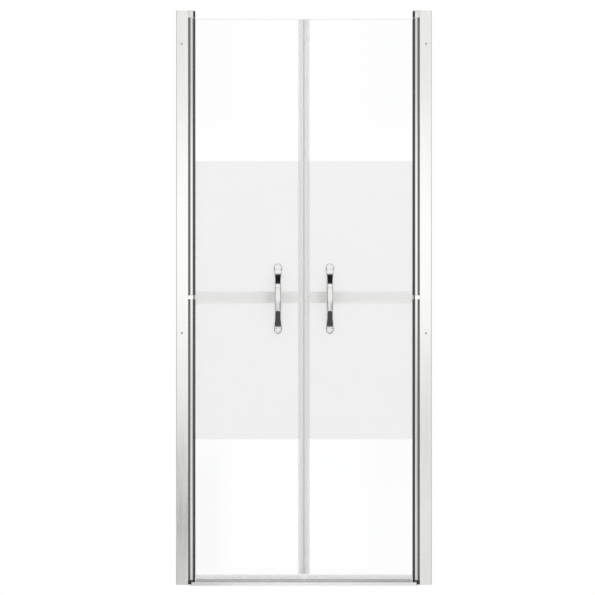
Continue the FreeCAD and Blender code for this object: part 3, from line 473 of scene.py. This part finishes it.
def door_glass(name):
    """Tempered glass, clear above and below and etched to a fine frost in between, with ground edges."""
    s = Shader(name)
    band = frosted_band(s)
    grain = s.noise(scale=2600.0, detail=2.0, roughness=0.7)
    clouds = s.noise(scale=7.0, detail=3.0)
    frost = s.tint(clouds, FROSTED_GLASS, WHITER_FROST)
    etched = s.math("MULTIPLY", band, grain)
    pane = {
        "Base Color": s.tint(band, CLEAR_GLASS, frost),
        "Roughness": s.math("MULTIPLY", band, s.spread(grain, 0.27, 0.37)),
        "IOR": 1.5,
        "Transmission Weight": s.ramp(band, (0.0, 1.0), (1.0, 0.9)),
        "Normal": s.bump(etched, strength=0.15, depth=ETCHED_GRAIN),
    }
    ground = {
        "Base Color": s.tint(clouds, GROUND_GLASS, PALER_GROUND_GLASS),
        "Roughness": 0.5,
        "Transmission Weight": 0.25,
    }
    return s.finish(s.mix(ground_edge(s), s.principled(pane), s.principled(ground)))


def paint(material, *names):
    """Gives a material to CAD nodes or new pieces."""
    for name in names:
        target = nodes[name] if isinstance(name, str) else name
        if not target.data.materials:
            target.data.materials.append(material)
        for slot in range(len(target.data.materials)):
            target.data.materials[slot] = material


def both(*names):
    """The left and right node of each name."""
    return [f"{side}_{name}" for name in names for side in SIDES]


materials = {
    "frame": extruded_metal("frame_aluminium", FRAME_METAL, roughness=0.13),
    "wall": extruded_metal("wall_aluminium", WALL_METAL, roughness=0.3),
    "barrel": stile_metal("barrel_aluminium", STILE_METAL, roughness=0.1),
    "threshold": extruded_metal("threshold_aluminium", THRESHOLD_METAL, roughness=0.1, axis="X"),
    "bearing": chrome("bearing_chrome", BEARING_CHROME, roughness=0.06),
    "handle": chrome("handle_chrome", HANDLE_CHROME, roughness=0.035),
    "screw": steel("screw_steel", SCREW_STEEL),
    "pin": steel("pin_steel", PIN_STEEL),
    "white_nylon": moulded("white_nylon", NYLON_WHITE, roughness=0.45),
    "black_nylon": moulded("black_nylon", NYLON_BLACK, roughness=0.42),
    "wiper": extruded_rubber("wiper_rubber", WIPER_BLACK),
    "gasket": extruded_rubber("gasket_rubber", GASKET_BLACK),
    "magnet": moulded("magnet_rubber", MAGNET_WHITE, roughness=0.6),
    "glass": door_glass("safety_glass"),
    "joint": clear_plastic("joint_plastic", JOINT_CLEAR, roughness=0.3, haze=0.85, density=20.0, axis="X"),
    "meeting_seal": clear_plastic(
        "seal_plastic",
        SEAL_CLEAR,
        roughness=0.3,
        haze=0.14,
        density=40.0,
        # Painted shade of the gap where the two seals meet.
        painted_shade_part=painted_meeting_shade,
        shade=0.66,
    ),
    "drip_seal": clear_plastic(
        "drip_plastic",
        SEAL_CLEAR,
        roughness=0.3,
        haze=0.1,
        density=12.0,
        axis="X",
        # Painted shade on the fins under the drip seal, over the gap above the threshold.
        painted_shade_part=painted_fin_shade,
        shade=0.84,
    ),
    "washer": clear_plastic("washer_plastic", WASHER_CLEAR, roughness=0.25, haze=0.45, density=20.0),
}

paint(materials["frame"], *both("hinge_profile"))
paint(materials["wall"], *both("wall_profile"))
paint(materials["barrel"], *both("upper_barrel", "lower_barrel"))
paint(materials["threshold"], "threshold_bar")
paint(materials["bearing"], *both("top_block", "mid_knuckle"))
paint(materials["screw"], *both("profile_screws", "bearing_screws"))
paint(materials["pin"], *both("pivot_pins", "handle_studs"))
paint(materials["white_nylon"], *both("top_bush", "mid_bush"))
paint(materials["black_nylon"], "threshold_caps", *both("bottom_bearing", "top_cap"))
paint(materials["wiper"], *both("wiper_seals"))
paint(materials["gasket"], *both("upper_gasket", "lower_gasket"))
paint(materials["magnet"], *both("magnet_strip"))
paint(materials["glass"], *both("upper_glass", "lower_glass"))
paint(materials["joint"], *both("joint_profile"))
paint(materials["meeting_seal"], *both("meeting_seal"))
paint(materials["drip_seal"], *both("drip_seal"))
paint(materials["washer"], *both("handle_washers"))
paint(materials["handle"], *both("outer_handle", "inner_handle"))


def shade_smooth(obj, angle):
    """Smooth shading that keeps edges sharper than an angle."""
    split = obj.modifiers.new("smooth", "EDGE_SPLIT")
    split.split_angle = math.radians(angle)
    for face in obj.data.polygons:
        face.use_smooth = True


def join_rings(mesh, rings):
    """Faces between each ring of points and the next."""
    for upper, lower in zip(rings, rings[1:]):
        count = len(upper)
        for index in range(count):
            after = (index + 1) % count
            mesh.faces.new((upper[index], upper[after], lower[after], lower[index]))


def mesh_object(name, mesh):
    """An object in the scene made of a finished mesh, with its faces turned outwards."""
    bmesh.ops.recalc_face_normals(mesh, faces=mesh.faces)
    data = bpy.data.meshes.new(name)
    mesh.to_mesh(data)
    mesh.free()
    obj = bpy.data.objects.new(name, data)
    bpy.context.scene.collection.objects.link(obj)
    return obj


def handle_width(up):
    """Width of the handle up to its studs: a little wider in the grip than at the waist, and widest in the
    feet."""
    foot_share = eased(max((up - WAIST_HEIGHT) / (STUD_HALF_SPACING - WAIST_HEIGHT), 0) ** TAPER_POWER)
    grip_share = 1 - eased(up / WAIST_HEIGHT)
    width = between(WAIST_WIDTH, 2 * FOOT_RADIUS, foot_share)
    return width + (GRIP_WIDTH - WAIST_WIDTH) * grip_share


def tip_thickness(past):
    """Thickness of the round foot at a distance past its stud."""
    into_round = max(past - (FOOT_RADIUS - TIP_ROUND), 0)
    return FOOT_HEIGHT - TIP_ROUND + math.sqrt(max(TIP_ROUND**2 - into_round**2, 0))


def handle_station(height):
    """Section of the handle at a height from its middle: its half width, thickness, distance from the middle
    of the glass, slope, and the radii of its front and back corners."""
    up = abs(height)
    along_neck = min(max((NECK_START - up) / NECK_LENGTH, 0), 1)
    climb = along_neck**NECK_SKEW
    steepening = NECK_SKEW * along_neck ** (NECK_SKEW - 1)
    slope = eased_slope(climb) * steepening * HANDLE_RISE / NECK_LENGTH
    smooth = eased(climb)
    bow = GRIP_BOW * max(1 - (up / NECK_END) ** 2, 0)
    front_round = between(FOOT_FRONT_ROUND, GRIP_FRONT_ROUND, smooth) - NECK_FRONT_SHARPENING * hump(climb)
    back_round = between(FOOT_BACK_ROUND, GRIP_BACK_ROUND, smooth)
    past_stud = up - STUD_HALF_SPACING
    if past_stud > 0:
        half_width = math.sqrt(max(FOOT_RADIUS**2 - past_stud**2, 0))
        thickness = tip_thickness(past_stud)
        back = FOOT_SEAT
    else:
        half_width = handle_width(up) / 2
        thickness = between(FOOT_HEIGHT, GRIP_THICKNESS, smooth) - NECK_THINNING * hump(climb)
        back = FOOT_SEAT + FOOT_HEIGHT / 2 + HANDLE_RISE * smooth + bow - thickness / 2
    return half_width, thickness, back, math.copysign(slope, height), front_round, back_round


def corner_arc(centre_x, centre_out, radius, start):
    """Points round a quarter circle, as distances across the section and out from its middle."""
    angles = [math.radians(start + 90 * step / CORNER_STEPS) for step in range(CORNER_STEPS + 1)]
    return [(centre_x + radius * math.cos(a), centre_out + radius * math.sin(a)) for a in angles]


def rounded_section(half_width, thickness, front_round, back_round):
    """Points round a rectangle with rounded corners, with more points along its flat sides."""
    front_x = half_width - front_round
    front_out = thickness / 2 - front_round
    back_x = half_width - back_round
    back_out = thickness / 2 - back_round
    arcs = (
        corner_arc(back_x, -back_out, back_round, -90),
        corner_arc(front_x, front_out, front_round, 0),
        corner_arc(-front_x, front_out, front_round, 90),
        corner_arc(-back_x, -back_out, back_round, 180),
    )
    section = []
    for arc, next_arc in zip(arcs, arcs[1:] + arcs[:1]):
        section += arc
        (x, out), (next_x, next_out) = arc[-1], next_arc[0]
        for step in range(1, FLAT_STEPS):
            share = step / FLAT_STEPS
            section.append((between(x, next_x, share), between(out, next_out, share)))
    return section


def handle_ring(height):
    """Points round the handle's section, whose front is lightly crowned."""
    half_width, thickness, back, slope, front_round, back_round = handle_station(height)
    front_round = min(
        front_round, half_width * FRONT_ROUND_WIDTH_SHARE, thickness * FRONT_ROUND_THICKNESS_SHARE
    )
    back_round = min(
        back_round, half_width * BACK_ROUND_WIDTH_SHARE, thickness * BACK_ROUND_THICKNESS_SHARE
    )
    tilt = math.atan(slope)
    middle = back + thickness / 2
    points = []
    for x, out in rounded_section(half_width, thickness, front_round, back_round):
        if out > 0:
            out += GRIP_CROWN * (1 - (x / half_width) ** 2) * min(out / (thickness / 2), 1)
        points.append(Vector((x, -(middle + out * math.cos(tilt)), height + out * math.sin(tilt))))
    return points


def handle_heights():
    """Heights of the sections, closer together over the rounded ends."""
    end = STUD_HALF_SPACING + FOOT_RADIUS
    near_end = [end - FOOT_RADIUS * (1 - math.cos(math.radians(angle))) for angle in END_ANGLES]
    top = STUD_HALF_SPACING * MIDDLE_SHARE
    middle = [between(top, -top, step / MIDDLE_SECTIONS) for step in range(MIDDLE_SECTIONS + 1)]
    return near_end + middle + [-height for height in reversed(near_end)]


def bow_handle(name):
    """Smooth cast handle: a grip bowed away from the glass on two round feet."""
    mesh = bmesh.new()
    rings = [[mesh.verts.new(point) for point in handle_ring(height)] for height in handle_heights()]
    join_rings(mesh, rings)
    mesh.faces.new(list(reversed(rings[0])))
    mesh.faces.new(rings[-1])
    obj = mesh_object(name, mesh)
    shade_smooth(obj, CAST_ANGLE)
    return obj


def add_handles():
    """The outer and inner handle of each leaf."""
    for side, sign in SIDES.items():
        for face, turn in (("outer", 0), ("inner", math.pi)):
            name = f"{side}_{face}_handle"
            handle = bow_handle(f"{name}_cast")
            handle.location = (sign * HANDLE_X, 0, HANDLE_Z)
            handle.rotation_euler = (0, 0, turn)
            paint(materials["handle"], handle)
            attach(handle, f"{side}_leaf")
            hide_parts(name)


def cross_outline(taper):
    """Corners of a cross with four equal arms, in order round it, as a share of the recess's full size."""
    arm, half = taper * RECESS_ARM, taper * RECESS_HALF_WIDTH
    corners = []
    for turn in range(4):
        angle = math.radians(90 * turn)
        for along, aside in ((arm, -half), (arm, half), (half, half)):
            x = along * math.cos(angle) - aside * math.sin(angle)
            y = along * math.sin(angle) + aside * math.cos(angle)
            corners.append((x, y))
    return corners


def loop_edges(mesh, ring):
    """The edges that join a closed ring of points."""
    return [mesh.edges.get((first, second)) for first, second in zip(ring, ring[1:] + ring[:1])]


def add_screw(mesh, x, z, face):
    """One pan head screw, made of rings round its axis, with a cross recess sunk in the flat of its head."""

    def point(across, up, out):
        return mesh.verts.new((x + across, face * (FRAME_FACE + out), z + up))

    def ring(radius, out):
        turns = [2 * math.pi * step / SCREW_SIDES for step in range(SCREW_SIDES)]
        return [point(radius * math.cos(turn), radius * math.sin(turn), out) for turn in turns]

    rings = [ring(SHANK_RADIUS, -SHANK_LENGTH), ring(SHANK_RADIUS, 0), ring(HEAD_RADIUS, 0)]
    for step in range(DOME_STEPS + 1):
        turn = math.radians(90 * step / DOME_STEPS)
        radius = between(HEAD_FLAT_RADIUS, HEAD_RADIUS, math.cos(turn))
        rings.append(ring(radius, between(HEAD_RIM, HEAD_HEIGHT, math.sin(turn))))
    join_rings(mesh, rings)
    mesh.faces.new(rings[0])
    mouth = [point(a, b, HEAD_HEIGHT) for a, b in cross_outline(1)]
    bottom = [point(a, b, HEAD_HEIGHT - RECESS_DEPTH) for a, b in cross_outline(RECESS_TAPER)]
    join_rings(mesh, (mouth, bottom))
    mesh.faces.new(bottom)
    flat = loop_edges(mesh, rings[-1]) + loop_edges(mesh, mouth)
    bmesh.ops.triangle_fill(mesh, edges=flat, use_beauty=True)


def add_screws(node, x, heights, face):
    """The screws of one CAD node, on one side of the door."""
    mesh = bmesh.new()
    for height in heights:
        add_screw(mesh, x, height, face)
    screws = mesh_object(f"{node}_pan_heads", mesh)
    shade_smooth(screws, SCREW_ANGLE)
    paint(materials["screw"], screws)
    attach(screws, "frame")
    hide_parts(node)


add_handles()
for side, sign in SIDES.items():
    add_screws(f"{side}_profile_screws", sign * PROFILE_SCREW_X, PROFILE_SCREW_HEIGHTS, FRONT)
    add_screws(f"{side}_bearing_screws", sign * BEARING_SCREW_X, BEARING_SCREW_HEIGHTS, BACK)

ROUND_NODES = both(
    "upper_barrel",
    "lower_barrel",
    "top_block",
    "mid_knuckle",
    "bottom_bearing",
    "top_bush",
    "mid_bush",
    "pivot_pins",
    "handle_studs",
    "handle_washers",
    "hinge_profile",
)
for node_name in ROUND_NODES:
    shade_smooth(nodes[node_name], TURNED_ANGLE)


# The room that metal mirrors, as the brightness of each direction. It is turned a little to the right. The
# edges are where one brightness fades into the next: by the angle round the door from the camera for the
# front and back walls, and for all else by the direction's X for left, right and inner edges, and its Z for
# low and high ones.
WHITE = 1.0
ROOM_TURN = math.radians(5)
FRONT_WALL = 1.12
FRONT_WALL_EDGE = (math.radians(33), math.radians(55))
BACK_WALL = 0.95
BACK_WALL_EDGE = (math.radians(145), math.radians(160))
SIDES_AT_EYE_LEVEL = 0.045
SIDES_BEYOND = 0.85
EYE_LEVEL_EDGE = (0.17, 0.24)

# Shades low on the front and back walls.
POST_SHADE = 0.05
POST_LEFT_EDGE = (-0.13, -0.1)
POST_RIGHT_EDGE = (-0.046, -0.03)
LEFT_SHADE = 0.78
LEFT_LOW_EDGE = (-0.1, -0.066)
LEFT_HIGH_EDGE = (-0.045, 0.01)
LOWER_RIGHT_SHADE = 0.72
RIGHT_SHADE = 0.56
RIGHT_LOW_EDGE = (-0.115, -0.09)
RIGHT_HIGH_EDGE = (-0.06, 0.0)
MIDDLE_EDGE = (-0.02, 0.02)
LOW_SHADES_INNER_EDGE = (0.03, 0.045)
LINE_SHADE = 0.56
LINE_LOW_EDGE = (-0.2, -0.17)
LINE_HIGH_EDGE = (-0.15, -0.14)

# The shade high on the front and back walls.
HIGH_SHADE = 0.68
HIGH_SHADE_LOW_EDGE = (0.075, 0.105)
HIGH_SHADE_HIGH_EDGE = (0.19, 0.22)
HIGH_SHADE_INNER_EDGE = (0.02, 0.05)

# The dark ceiling and floor, and the light that all but glossy surfaces get from the left and right.
CEILING_SHADE = 0.02
CEILING_START_AHEAD = 0.72
CEILING_START_ASIDE = 0.35
CEILING_BLUR = 0.21
ASIDE_EDGE = (0.35, 0.5)
CARPET_SHADES = (0.09, 0.13)
CARPET_EDGE = (-0.75, -0.5)
FLOOR_EDGE_AHEAD = (-0.42, -0.22)
FLOOR_EDGE_ASIDE = (-0.55, -0.42)
LIGHT_STRENGTHS = (0.7, 1.2)
LIGHT_EDGE = (-0.9, 0.9)


def room_walls(n, direction):
    """Walls round the door: a bright one behind the camera, a white one behind the door, and sides that are
    dark at eye level."""
    to_camera = n.math("MULTIPLY", direction["Y"], -1.0)
    around = n.math("ARCTAN2", direction["X"], to_camera)
    azimuth = n.math("ABSOLUTE", n.math("SUBTRACT", around, ROOM_TURN))
    from_eye_level = n.math("ABSOLUTE", direction["Z"])
    sides = n.fade(from_eye_level, EYE_LEVEL_EDGE, (SIDES_AT_EYE_LEVEL, SIDES_BEYOND))
    front = n.fade(azimuth, FRONT_WALL_EDGE, (FRONT_WALL, sides))
    return n.fade(azimuth, BACK_WALL_EDGE, (front, BACK_WALL))


def low_shades(n, x, z):
    """Shades low on the front and back walls, which each side frame mirrors on its own side: a dark post
    under a paler shade on the left, two shades on the right, and a line under them that also crosses the
    middle."""
    post_start = n.fade(x, POST_LEFT_EDGE, (WHITE, POST_SHADE))
    post = n.fade(x, POST_RIGHT_EDGE, (post_start, WHITE))
    lower_left = n.fade(z, LEFT_LOW_EDGE, (post, LEFT_SHADE))
    left = n.fade(z, LEFT_HIGH_EDGE, (lower_left, WHITE))
    lower_right = n.fade(z, RIGHT_LOW_EDGE, (LOWER_RIGHT_SHADE, RIGHT_SHADE))
    right = n.fade(z, RIGHT_HIGH_EDGE, (lower_right, WHITE))
    both_sides = n.fade(x, MIDDLE_EDGE, (left, right))
    above_line = n.fade(n.math("ABSOLUTE", x), LOW_SHADES_INNER_EDGE, (WHITE, both_sides))
    line = n.fade(z, LINE_LOW_EDGE, (WHITE, LINE_SHADE))
    return n.fade(z, LINE_HIGH_EDGE, (line, above_line))


def high_shades(n, x, z):
    """A shade on each side of the front and back walls, level with the top of the door."""
    start = n.fade(z, HIGH_SHADE_LOW_EDGE, (WHITE, HIGH_SHADE))
    shade = n.fade(z, HIGH_SHADE_HIGH_EDGE, (start, WHITE))
    return n.fade(n.math("ABSOLUTE", x), HIGH_SHADE_INNER_EDGE, (WHITE, shade))


def with_ceiling_and_floor(n, walls, x, z):
    """The walls with a dark ceiling over them, which comes lower at the sides, and a dark floor under them,
    which comes higher in front and behind."""
    aside = n.math("ABSOLUTE", x)
    ceiling_start = n.fade(aside, ASIDE_EDGE, (CEILING_START_AHEAD, CEILING_START_ASIDE))
    ceiling_end = n.math("ADD", ceiling_start, CEILING_BLUR)
    under_ceiling = n.fade(z, (ceiling_start, ceiling_end), (walls, CEILING_SHADE))
    ahead = n.fade(aside, ASIDE_EDGE, (1.0, 0.0))
    floor_ahead = n.math("MULTIPLY", ahead, n.fade(z, FLOOR_EDGE_AHEAD, (1.0, 0.0)))
    floor = n.math("MAXIMUM", floor_ahead, n.fade(z, FLOOR_EDGE_ASIDE, (1.0, 0.0)))
    carpet = n.fade(z, CARPET_EDGE, CARPET_SHADES)
    return n.fade(floor, (0.0, 1.0), (under_ceiling, carpet))


def studio_world():
    """White to the camera and through glass. Glossy surfaces mirror the room, and all else is lit by white
    from all round, a little stronger from the right."""
    world = bpy.data.worlds.new("studio")
    bpy.context.scene.world = world
    world.use_nodes = True
    n = Nodes(world.node_tree)
    direction = n.parts(n.add("ShaderNodeTexCoord").outputs["Generated"])
    x, z = direction["X"], direction["Z"]
    shades = n.math("MULTIPLY", low_shades(n, x, z), high_shades(n, x, z))
    walls = n.math("MULTIPLY", room_walls(n, direction), shades)
    room = with_ceiling_and_floor(n, walls, x, z)
    rays = n.add("ShaderNodeLightPath").outputs
    not_glossy = n.math("SUBTRACT", 1.0, rays["Is Glossy Ray"])
    soft = n.math("MULTIPLY", not_glossy, n.fade(x, LIGHT_EDGE, LIGHT_STRENGTHS))
    mirrored = n.math("MULTIPLY", rays["Is Glossy Ray"], room)
    seen = n.math("MAXIMUM", rays["Is Camera Ray"], rays["Is Transmission Ray"])
    strength = n.math("MAXIMUM", n.math("ADD", soft, mirrored), seen)
    shader = n.add("ShaderNodeBackground", {"Color": (1, 1, 1, 1), "Strength": strength})
    n.add("ShaderNodeOutputWorld", {"Surface": shader.outputs["Background"]})


def studio_floor():
    """Pale floor: nearly white to the camera, with the door's soft shadow on it."""
    mesh = bmesh.new()
    reach = FLOOR_REACH
    corners = ((-reach, -reach), (reach, -reach), (reach, reach), (-reach, reach))
    mesh.faces.new([mesh.verts.new((x, y, 0)) for x, y in corners])
    floor = mesh_object("floor", mesh)
    s = Shader("floor_pale")
    lit = s.add("ShaderNodeBsdfDiffuse", {"Color": (*FLOOR_GREY, 1)}).outputs["BSDF"]
    white = s.add("ShaderNodeEmission", {"Color": (1, 1, 1, 1), "Strength": 1.0}).outputs["Emission"]
    rays = s.add("ShaderNodeLightPath").outputs
    seen = s.math("MAXIMUM", rays["Is Camera Ray"], rays["Is Transmission Ray"])
    floor.data.materials.append(s.finish(s.mix(s.math("MULTIPLY", seen, FLOOR_WHITE_SHARE), lit, white)))
    floor.location = (0, 0, -FLOOR_DROP)
    floor.visible_glossy = False


def studio_light(name, place, watts):
    """A soft square lamp that points at the middle of the door and isn't mirrored."""
    data = bpy.data.lights.new(name, "AREA")
    data.shape = "SQUARE"
    data.size = LAMP_WIDTH
    data.energy = watts
    lamp = bpy.data.objects.new(name, data)
    bpy.context.scene.collection.objects.link(lamp)
    lamp.location = place
    lamp.rotation_mode = "QUATERNION"
    lamp.rotation_quaternion = (Vector(LAMP_TARGET) - Vector(place)).to_track_quat("-Z", "Y")
    lamp.visible_glossy = False


def add_camera():
    """The camera looks straight at the door, and its view at the frames' fronts is as wide as the photo's."""
    data = bpy.data.cameras.new("camera")
    data.sensor_width = SENSOR_WIDTH
    data.lens = data.sensor_width * CAMERA_DISTANCE / VIEW_WIDTH
    data.clip_end = CAMERA_RANGE
    camera = bpy.data.objects.new("camera", data)
    bpy.context.scene.collection.objects.link(camera)
    camera.location = (CAMERA_X, FRONT * (FRAME_FACE + CAMERA_DISTANCE), CAMERA_Z)
    camera.rotation_euler = (math.radians(90), 0, 0)
    bpy.context.scene.camera = camera


studio_world()
studio_floor()
studio_light("key", KEY_PLACE, KEY_WATTS)
studio_light("fill", FILL_PLACE, FILL_WATTS)
add_camera()
bpy.context.scene.view_settings.view_transform = "Standard"
